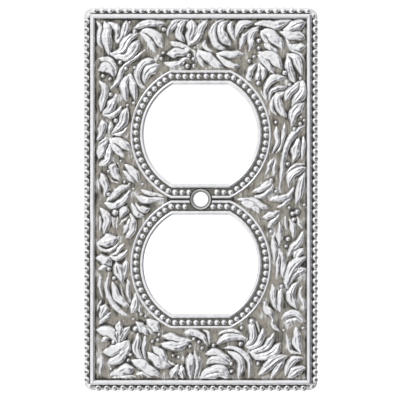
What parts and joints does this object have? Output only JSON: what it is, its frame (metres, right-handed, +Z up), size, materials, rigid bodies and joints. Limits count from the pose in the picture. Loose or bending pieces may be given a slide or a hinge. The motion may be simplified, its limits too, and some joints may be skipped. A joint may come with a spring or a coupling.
{
  "type": "duplex outlet wall plate cover",
  "caption": "Ornamental one-gang cover plate for a duplex receptacle, with beaded border, foliage field and beaded outlet surrounds.",
  "frame": {"origin": "on the axis of the centre screw hole, in the wall plane that the plate's rim bears on", "axes": "+X to the right and +Z up as the plate hangs on the wall, -Y out of the wall towards the viewer"},
  "size_m": [0.0698, 0.0055, 0.1142],
  "materials": {
    "pan": "cast zinc alloy with dark antique patina",
    "ornament": "antique silver plate, rubbed bright on the high points and dark in the recesses",
    "mouldings": "satin antique silver plate",
    "beads": "rubbed bright antique silver plate",
    "seat": "satin antique silver plate, countersunk"
  },
  "bodies": {
    "root": {"back_pan": "pan", "foliage_panel": "ornament", "fillet_top": "mouldings", "fillet_bottom": "mouldings", "fillet_left": "mouldings", "fillet_right": "mouldings", "bead_strip_top": "beads", "bead_strip_bottom": "beads", "bead_strip_left": "beads", "bead_strip_right": "beads", "corner_bead_top_left": "beads", "corner_bead_top_right": "beads", "corner_bead_bottom_left": "beads", "corner_bead_bottom_right": "beads", "upper_opening_lip": "mouldings", "lower_opening_lip": "mouldings", "upper_bead_ring": "beads", "lower_bead_ring": "beads", "upper_rim_wire": "mouldings", "lower_rim_wire": "mouldings", "screw_seat": "seat"}
  },
  "joints": []
}
